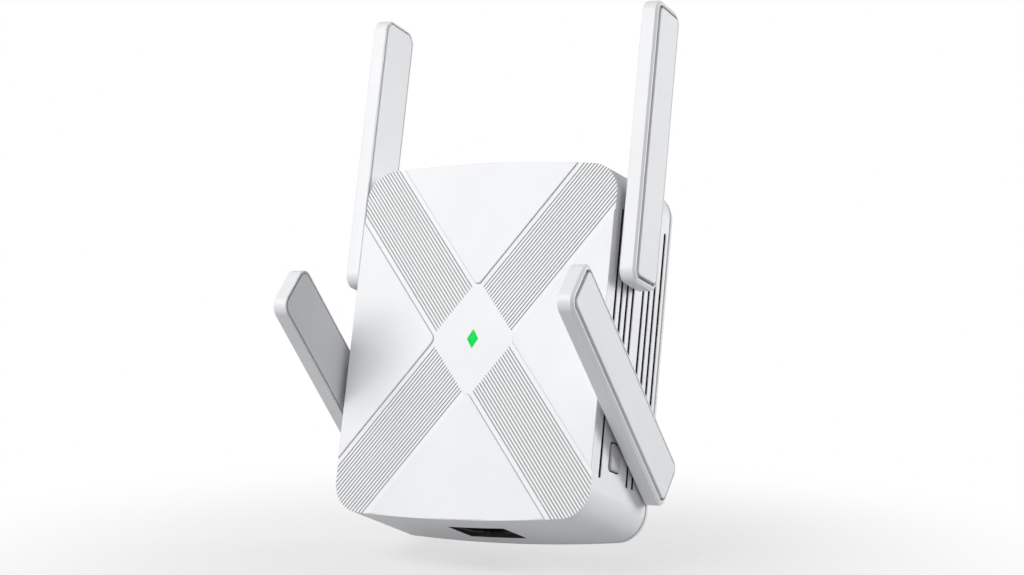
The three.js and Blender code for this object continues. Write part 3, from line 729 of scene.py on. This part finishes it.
BUTTON_LOW, BUTTON_HIGH = box_mm("wps_button")
BUTTON_FLANGE = 1.1
BUTTON_MIDDLE = ((BUTTON_LOW.y + BUTTON_HIGH.y) / 2, (BUTTON_LOW.z + BUTTON_HIGH.z) / 2)
BUTTON_HALF = (
    (BUTTON_HIGH.y - BUTTON_LOW.y) / 2 - BUTTON_FLANGE,
    (BUTTON_HIGH.z - BUTTON_LOW.z) / 2 - BUTTON_FLANGE,
)
JACK_LOW, JACK_HIGH = box_mm("ethernet_jack")
PORT_HALF_X = 8.5
PORT_Y = (JACK_LOW.y - 0.3, JACK_HIGH.y + 0.3)
PIVOT_RING_R = 4.0
PIVOT_RING_X = (35.7, 37.2)
HUB_GAP = 0.3
BUTTON_GAP = 0.36
SCREWS = {(row, side): box_mm(f"housing_screw_{row}_{side}") for row, side in CORNERS}
SCREW_HOLE_R = 1.5
HOUSING_BOSS_R = 3.3
COVER_BOSS_R = 3.6


def screw_centre(row, side):
    low, high = SCREWS[row, side]
    return (low.x + high.x) / 2, (low.z + high.z) / 2


def side_x(y):
    """Half width of the housing's flat side at depth y."""
    return grown(HALF_X, y, 0)[0]


def vent_slots(out):
    """(y, low z, high z) of each slot on one side."""
    pivot = {row: antenna_frame(row, "right" if out > 0 else "left").pivot for row in ROWS}
    under_upper = pivot["upper"].z - PIVOT_RING_R - 1.5
    over_lower = pivot["lower"].z + PIVOT_RING_R + 1.5
    short_foot = BUTTON_MIDDLE[1] + BUTTON_HALF[1] + 6 if out > 0 else -VENT_END_Z
    slots = [(5.0, -VENT_END_Z, VENT_END_Z)]
    slots += [(behind, short_foot, under_upper) for behind in (8.33, 11.65, 14.97)]
    slots += [(behind, -VENT_END_Z, VENT_END_Z) for behind in (20.75, 24.08)]
    slots += [(behind, over_lower, VENT_END_Z) for behind in (27.4, 30.72)]
    return [(FRONT_Y + behind, low, high) for behind, low, high in slots]


def flared(outline, surface, out, depth=6.0, chamfer=0.13):
    """Rings of a cutter through a side wall, opening out by a chamfer at the wall's surface."""
    stations = [(surface + 0.6, -chamfer - 0.6), (surface - chamfer, 0), (surface - depth, 0)]
    return [[(out * x, y, z) for y, z in outline(inset)] for x, inset in stations]


def make_housing():
    inner_front = SHELL_FRONT_Y + FRONT_WALL
    chamfer = 0.12
    stations = [(SHELL_FRONT_Y, 0), (SEAM_Y - chamfer, 0), (SEAM_Y, chamfer)]
    stations += [(SEAM_Y, WALL), (inner_front, WALL)]
    shell = to_object(loft(along_y(body_outline, stations)), "housing_shell")

    bosses = bmesh.new()
    cutters = bmesh.new()
    for row, side in CORNERS:
        out = SIDES[side]
        centre = screw_centre(row, side)
        loft(prism_y(circle(HOUSING_BOSS_R, centre, 24), (inner_front - 0.5, SEAM_Y - 1.3)), bosses)
        loft(prism_y(circle(SCREW_HOLE_R, centre, 16), (-30, SEAM_Y + 1)), cutters)

        pivot = antenna_frame(row, side).pivot
        ring = [(min(y, SEAM_Y - 0.05), z) for y, z in circle(PIVOT_RING_R, (pivot.y, pivot.z))]
        loft(prism_x(ring, [out * x for x in PIVOT_RING_X]), bosses)
        surface = side_x(pivot.y)
        bore = [(33.0, HUB_R + HUB_GAP), (surface - 0.2, HUB_R + HUB_GAP), (surface + 0.5, HUB_R + 1.0)]
        loft(turned_x([(out * x, radius) for x, radius in bore], (pivot.y, pivot.z)), cutters)

    for out in SIDES.values():
        for y, low, high in vent_slots(out):
            def slot(inset, y=y, low=low, high=high):
                half = VENT_WIDTH / 2 - inset
                radius = min(0.35 - min(inset, 0), half)
                return rounded_rect(half, (high - low) / 2 - inset, radius, (y, (low + high) / 2), 4)

            loft(flared(slot, side_x(y), out), cutters)

    def button_hole(inset):
        half = [h + BUTTON_GAP - inset for h in BUTTON_HALF]
        return rounded_rect(*half, 1.3 - inset, BUTTON_MIDDLE, 6)

    loft(flared(button_hole, side_x(BUTTON_MIDDLE[0]), 1), cutters)

    bottom = -HALF_Z - BOW - 1.5
    port_middle = (0, (PORT_Y[0] + PORT_Y[1]) / 2)
    port_half = (PORT_HALF_X, (PORT_Y[1] - PORT_Y[0]) / 2)
    loft(prism_z(rounded_rect(*port_half, 0.4, port_middle, 4), (bottom - 2, -42)), cutters)

    x, z = LENS_HALF.x + 0.3, LENS_HALF.y + 0.3
    lens_hole = [(RELIEF_X + x, 0), (RELIEF_X, z), (RELIEF_X - x, 0), (RELIEF_X, -z)]
    loft(prism_y(lens_hole, (SHELL_FRONT_Y - 1, inner_front + 1)), cutters)
    combine(shell, bosses, "UNION")
    combine(shell, cutters, "DIFFERENCE")
    smooth(shell, 28, on_body_crease)
    finish_piece(shell, "housing", ["front_housing"], WHITE, PAINTED_SHADE_BLACK)

    # Faces inside the walls are dark: near-black painted shade.
    centres = np.array([tuple(polygon.center / MM) for polygon in shell.data.polygons])
    t = centres[:, 1] - FRONT_Y
    at_front = np.stack([centres[:, 0] / (1 + GROW_X * t), centres[:, 2] / (1 + GROW_Z * t)], axis=1)
    depth = inside_outline(at_front)
    for polygon, inside, place in zip(shell.data.polygons, depth, centres):
        if inside > 0.3 and SHELL_FRONT_Y + 0.1 < place[1] < SEAM_Y - 0.01:
            polygon.material_index = 1


SEAM_WIDTH = 0.6
SEAM_DEPTH = 0.55


def make_rear_cover():
    rim_y = SEAM_Y + SEAM_WIDTH
    lip_y = SEAM_Y + 0.02
    factor = 1 + GROW_X * (SEAM_Y + 1.4 - FRONT_Y), 1 + GROW_Z * (SEAM_Y + 1.4 - FRONT_Y)

    def ring(y, inset):
        return [(x * factor[0], y, z * factor[1]) for x, z in body_outline(inset)]

    # From the inside of the floor out to the rim, over the drawn-in side, to the wall face.
    turn_y = SEAM_Y + 1.75
    stations = [(-2.0, WALL + 2.9), (turn_y, WALL), (lip_y, WALL)]
    stations += [(lip_y, SEAM_DEPTH), (rim_y, SEAM_DEPTH), (rim_y, 0.12)]
    stations += [(rim_y + 0.12, 0), (turn_y - 0.35, 0), (turn_y + 0.1, 0.12), (turn_y + 0.6, 0.38)]
    stations += [(-2.0, 2.9), (-1.2, 3.4), (-0.5, 3.95), (-0.12, 4.35), (WALL_Y, 4.8)]
    cover = to_object(loft([ring(*station) for station in stations]), "rear_cover_shell")

    bosses = bmesh.new()
    cutters = bmesh.new()
    for corner in CORNERS:
        centre = screw_centre(*corner)
        loft(prism_y(circle(COVER_BOSS_R, centre, 24), (-9.1, -1.5)), bosses)
        head = [(-12.0, SCREW_HOLE_R), (-2.8, SCREW_HOLE_R), (-2.8, 2.9), (-0.25, 2.9), (1.0, 4.1)]
        loft(turned_y(head, centre), cutters)
    for side in SIDES:
        low, high = box_mm(f"plug_blade_{side}")
        centre = ((low.x + high.x) / 2, (low.z + high.z) / 2)
        half = ((high.x - low.x) / 2 + 0.2, (high.z - low.z) / 2 + 0.2)
        loft(prism_y(rounded_rect(*half, 0.3, centre, 3), (-4, 1)), cutters)
    combine(cover, bosses, "UNION")
    combine(cover, cutters, "DIFFERENCE")

    def crease(a, b):
        return all(
            abs(abs(p.x) - CREASE_X * factor[0]) < 0.02 and abs(p.z) > HALF_Z - 4
            for p in (a, b)
        )

    smooth(cover, 28, crease)
    finish_piece(cover, "housing", ["rear_cover"], WHITE, PAINTED_SHADE_BLACK)
    # The faces in the seam's gap take the near-black painted shade.
    for polygon in cover.data.polygons:
        in_seam = lip_y - 0.01 < polygon.center.y / MM < rim_y - 0.01
        polygon.material_index = int(in_seam and abs(polygon.normal.y) < 0.5)


# ---- Button, socket and plug ----


def make_button():
    def outline(inset):
        half = [h - inset for h in BUTTON_HALF]
        return rounded_rect(*half, max(0.25, 1.0 - inset), BUTTON_MIDDLE, 6)

    foot, top = BUTTON_LOW.x + 1.4, BUTTON_HIGH.x
    stations = [(foot, -BUTTON_FLANGE), (foot + 1, -BUTTON_FLANGE), (foot + 1, 0)]
    stations += [*quarter((top - 0.55, 0), (top - 0.06, 0.6)), (top - 0.02, 1.2), (top, 2.2)]
    button = to_object(loft(along_x(outline, stations)), "push_button_cap")
    stem = rounded_rect(1.2, 1.2, 0.2, BUTTON_MIDDLE, 3)
    combine(button, loft(prism_x(stem, (BUTTON_LOW.x, foot + 0.2))), "UNION")
    smooth(button)
    finish_piece(button, "wps_button", ["wps_button"], BUTTON_PAINTED_SHADE)


CONTACTS = 8
CONTACT_PITCH = 1.27


def make_socket():
    low, high = JACK_LOW, JACK_HIGH
    middle = (0, (low.y + high.y) / 2)

    def outline(inset):
        return rounded_rect(high.x - inset, (high.y - low.y) / 2 - inset, 0.5, middle, 3)

    stations = [(low.z, 0.15), (low.z + 0.15, 0), (high.z - 0.15, 0), (high.z, 0.15)]
    rings = [[(x, y, z) for x, y in outline(inset)] for z, inset in stations]
    jack = to_object(loft(rings), "ethernet_socket")
    top = low.z + 15
    # Half width, and front and rear distance from the socket's front, of the cavity and its two latch steps.
    steps = [(5.95, 1.4, 9.7), (3.1, 9.0, 11.3), (1.7, 11.0, 12.3)]
    for half, front, rear in steps:
        y0, y1 = low.y + front, low.y + rear
        mouth = rounded_rect(half, (y1 - y0) / 2, 0.15, (0, (y0 + y1) / 2), 2)
        wide = rounded_rect(half + 0.5, (y1 - y0) / 2 + 0.5, 0.4, (0, (y0 + y1) / 2), 2)
        rings = [(low.z - 0.3, wide), (low.z + 0.25, mouth), (top, mouth)]
        combine(jack, loft([[(x, y, z) for x, y in ring] for z, ring in rings]), "DIFFERENCE")
    smooth(jack)
    finish_piece(jack, "housing", ["ethernet_jack"], BLACK)

    # Spring contacts: each rises out of the carrier, bends over and slopes back into the cavity.
    contact_low, contact_high = box_mm("jack_contacts")
    bm = bmesh.new()
    for i in range(CONTACTS):
        x = (i - (CONTACTS - 1) / 2) * CONTACT_PITCH
        y, z = contact_low.y + 0.35, contact_high.z
        path = [(y, z - 3.6), (y, z - 9.2), (y + 0.25, z - 9.7), (y + 0.75, z - 9.6), (y + 2.1, z - 3.6)]
        for (y0, z0), (y1, z1) in zip(path, path[1:]):
            along = Vector((0, y1 - y0, z1 - z0)).normalized()
            across = Vector((0, -along.z, along.y)) * 0.14
            ends = [Vector((x, y0, z0)) - along * 0.05, Vector((x, y1, z1)) + along * 0.05]
            section = ((1, 1), (1, -1), (-1, -1), (-1, 1))
            loft([[end + across * a + Vector((0.2 * b, 0, 0)) for a, b in section] for end in ends], bm)
    carrier = rounded_rect(5.6, 1.22, 0.2, (0, contact_low.y + 1.22), 3)
    loft(prism_z(carrier, (contact_high.z - 3.7, contact_high.z)), bm)
    contacts = to_object(bm, "socket_contacts")
    smooth(contacts)
    finish_piece(contacts, "housing", ["jack_contacts"], GOLD)


def make_plug():
    for side in SIDES:
        low, high = box_mm(f"plug_blade_{side}")
        middle_x = (low.x + high.x) / 2
        half_x, half_z = (high.x - low.x) / 2, (high.z - low.z) / 2
        tip = 1.6
        rings = []
        for y, inset_x, inset_z in [
            (low.y, 0, 0), (high.y - tip, 0, 0), (high.y - tip * 0.5, 0.12, tip * 0.42),
            (high.y - tip * 0.12, 0.34, tip * 0.82), (high.y, 0.5, tip * 1.05),
        ]:
            radius = min(0.22, half_x - inset_x - 0.01)
            outline = rounded_rect(half_x - inset_x, half_z - inset_z, radius, (middle_x, 0), 3)
            rings.append([(x, y, z) for x, z in outline])
        blade = to_object(loft(rings), f"plug_blade_{side}_formed")
        hole = [(middle_x - 1, 2.1), (middle_x - half_x + 0.1, 1.6)]
        hole += [(middle_x + half_x - 0.1, 1.6), (middle_x + 1, 2.1)]
        combine(blade, loft(turned_x(hole, (high.y - 5, 0))), "DIFFERENCE")
        smooth(blade)
        finish_piece(blade, "housing", [f"plug_blade_{side}"], NICKEL)

    for row, side in CORNERS:
        low, high = SCREWS[row, side]
        middle_x, middle_z = screw_centre(row, side)
        stations = [(low.y, 0.5), (low.y + 0.8, 1.2), (-2.5, 1.2), (-2.5, 2.42), (-2.42, 2.5), (-1.9, 2.5)]
        stations += [(-1.45, 2.35), (-1.1, 1.95), (high.y, 1.3)]
        screw = to_object(loft(turned_y(stations, (middle_x, middle_z))), f"screw_{row}_{side}")
        arm = rounded_rect(1.35, 0.3, 0.08, (0, 0), 2)
        deep = rounded_rect(0.9, 0.22, 0.08, (0, 0), 2)
        for upright in (False, True):
            rings = []
            for y, ring in ((-1.9, deep), (0, arm)):
                turned = [(z, x) if upright else (x, z) for x, z in ring]
                rings.append([(middle_x + x, y, middle_z + z) for x, z in turned])
            combine(screw, loft(rings), "DIFFERENCE")
        smooth(screw)
        finish_piece(screw, "housing", [f"housing_screw_{row}_{side}"], STEEL)


# ---- CAD nodes that stay ----

KEPT = {
    "main_board": BOARD,
    "power_board": BOARD,
    "status_led": LED_BODY,
    "main_processor": BLACK,
    "heat_sink": ALUMINIUM,
    "shield_can_left": STEEL,
    "shield_can_right": STEEL,
    "ethernet_magnetics": BLACK,
    "power_transformer": TAPE,
    "bulk_capacitor": SLEEVE,
    "output_capacitor": SLEEVE,
    "bridge_rectifier": BLACK,
    "button_switch": BLACK,
    "blade_retainer": INSULATOR,
    "board_screw_lower_left": STEEL,
    "board_screw_upper_right": STEEL,
    "dc_lead_positive": JACKET,
    "dc_lead_negative": JACKET,
}


def dress_cad_nodes():
    looks = dict(KEPT)
    for row, side in CORNERS:
        looks[f"coax_{row}_{side}"] = JACKET
        looks[f"antenna_{row}_{side}_element"] = BOARD
        looks[f"antenna_{row}_{side}_clip"] = STEEL
    for name, look in looks.items():
        node = frame["nodes"][name]
        for slot in node.material_slots:
            slot.material = look
        edges = node.modifiers.new("edges", "BEVEL")
        edges.width = 0.12 * MM
        edges.segments = 2
        edges.limit_method = "ANGLE"
        edges.angle_limit = math.radians(50)


# ---- Studio ----


def make_world():
    world = bpy.data.worlds.new("studio")
    bpy.context.scene.world = world
    world.use_nodes = True
    tree = world.node_tree
    tree.nodes.clear()
    output = tree.nodes.new("ShaderNodeOutputWorld")
    seen = tree.nodes.new("ShaderNodeBackground")
    light = tree.nodes.new("ShaderNodeBackground")
    seen.inputs["Color"].default_value = (1, 1, 1, 1)
    light.inputs["Color"].default_value = (0.97, 0.98, 1, 1)
    # Less light comes from below than from above.
    height = tree.nodes.new("ShaderNodeSeparateXYZ")
    tree.links.new(tree.nodes.new("ShaderNodeTexCoord").outputs["Generated"], height.inputs["Vector"])
    strength = tree.nodes.new("ShaderNodeMapRange")
    strength.inputs["From Min"].default_value = -1
    strength.inputs["To Min"].default_value = 0.32
    strength.inputs["To Max"].default_value = 0.36
    tree.links.new(height.outputs["Z"], strength.inputs["Value"])
    tree.links.new(strength.outputs["Result"], light.inputs["Strength"])
    path = tree.nodes.new("ShaderNodeLightPath")
    mix = tree.nodes.new("ShaderNodeMixShader")
    tree.links.new(path.outputs["Is Camera Ray"], mix.inputs["Fac"])
    tree.links.new(light.outputs["Background"], mix.inputs[1])
    tree.links.new(seen.outputs["Background"], mix.inputs[2])
    tree.links.new(mix.outputs["Shader"], output.inputs["Surface"])


def area_light(name, place, size, power, target=(0, -20, 10)):
    data = bpy.data.lights.new(name, "AREA")
    data.shape = "RECTANGLE"
    data.size, data.size_y = (s * MM for s in size)
    data.energy = power
    lamp = bpy.data.objects.new(name, data)
    bpy.context.scene.collection.objects.link(lamp)
    lamp.location = Vector(place) * MM
    lamp.visible_camera = False
    lamp.rotation_mode = "QUATERNION"
    lamp.rotation_quaternion = (Vector(target) - Vector(place)).to_track_quat("-Z", "Y")


def make_lights():
    area_light("key", (-280, -810, 310), (680, 600), 5.9)
    area_light("side", (580, 430, 220), (300, 300), 3.7)


def make_floor():
    """A pale floor just under the object, which is shown tilted on it. It fades out towards its edges."""
    normal = Vector((0.056, -0.312, 0.948)).normalized()
    middle = Vector((0, -25, -59))
    turn = normal.to_track_quat("Z", "Y").to_matrix().to_4x4()
    bm = bmesh.new()
    steps = 24
    reach = 260
    for i in range(steps + 1):
        for j in range(steps + 1):
            bm.verts.new(Vector((i / steps * 2 - 1, j / steps * 2 - 1, 0)) * reach * MM)
    bm.verts.ensure_lookup_table()
    for i in range(steps):
        for j in range(steps):
            a = i * (steps + 1) + j
            bm.faces.new([bm.verts[k] for k in (a, a + steps + 1, a + steps + 2, a + 1)])
    floor = to_object(bm, "floor")
    floor.matrix_world = Matrix.Translation(middle * MM) @ turn
    look, tree, shader, place = node_material("pale_floor")
    tone = ranged(tree, noise(tree, place, 40), 0, 1)
    tree.links.new(between(tree, tone, (0.88, 0.88, 0.885), (0.9, 0.9, 0.905)), shader.inputs["Base Color"])
    shader.inputs["Roughness"].default_value = 0.14
    length = tree.nodes.new("ShaderNodeVectorMath")
    length.operation = "LENGTH"
    tree.links.new(place, length.inputs[0])
    fade = tree.nodes.new("ShaderNodeMapRange")
    fade.interpolation_type = "SMOOTHSTEP"
    fade.inputs["From Min"].default_value = 35 * MM
    fade.inputs["From Max"].default_value = 190 * MM
    fade.inputs["To Min"].default_value = 0.45
    fade.inputs["To Max"].default_value = 0
    tree.links.new(length.outputs["Value"], fade.inputs["Value"])
    tree.links.new(fade.outputs["Result"], shader.inputs["Alpha"])
    floor.data.materials.append(look)


make_front_panel()
make_housing()
make_rear_cover()
make_button()
make_socket()
make_plug()
for row, side in CORNERS:
    make_antenna(row, side)
dress_cad_nodes()
make_world()
make_lights()
make_floor()

view_settings = bpy.context.scene.view_settings
view_settings.view_transform = "Standard"
view_settings.look = "None"
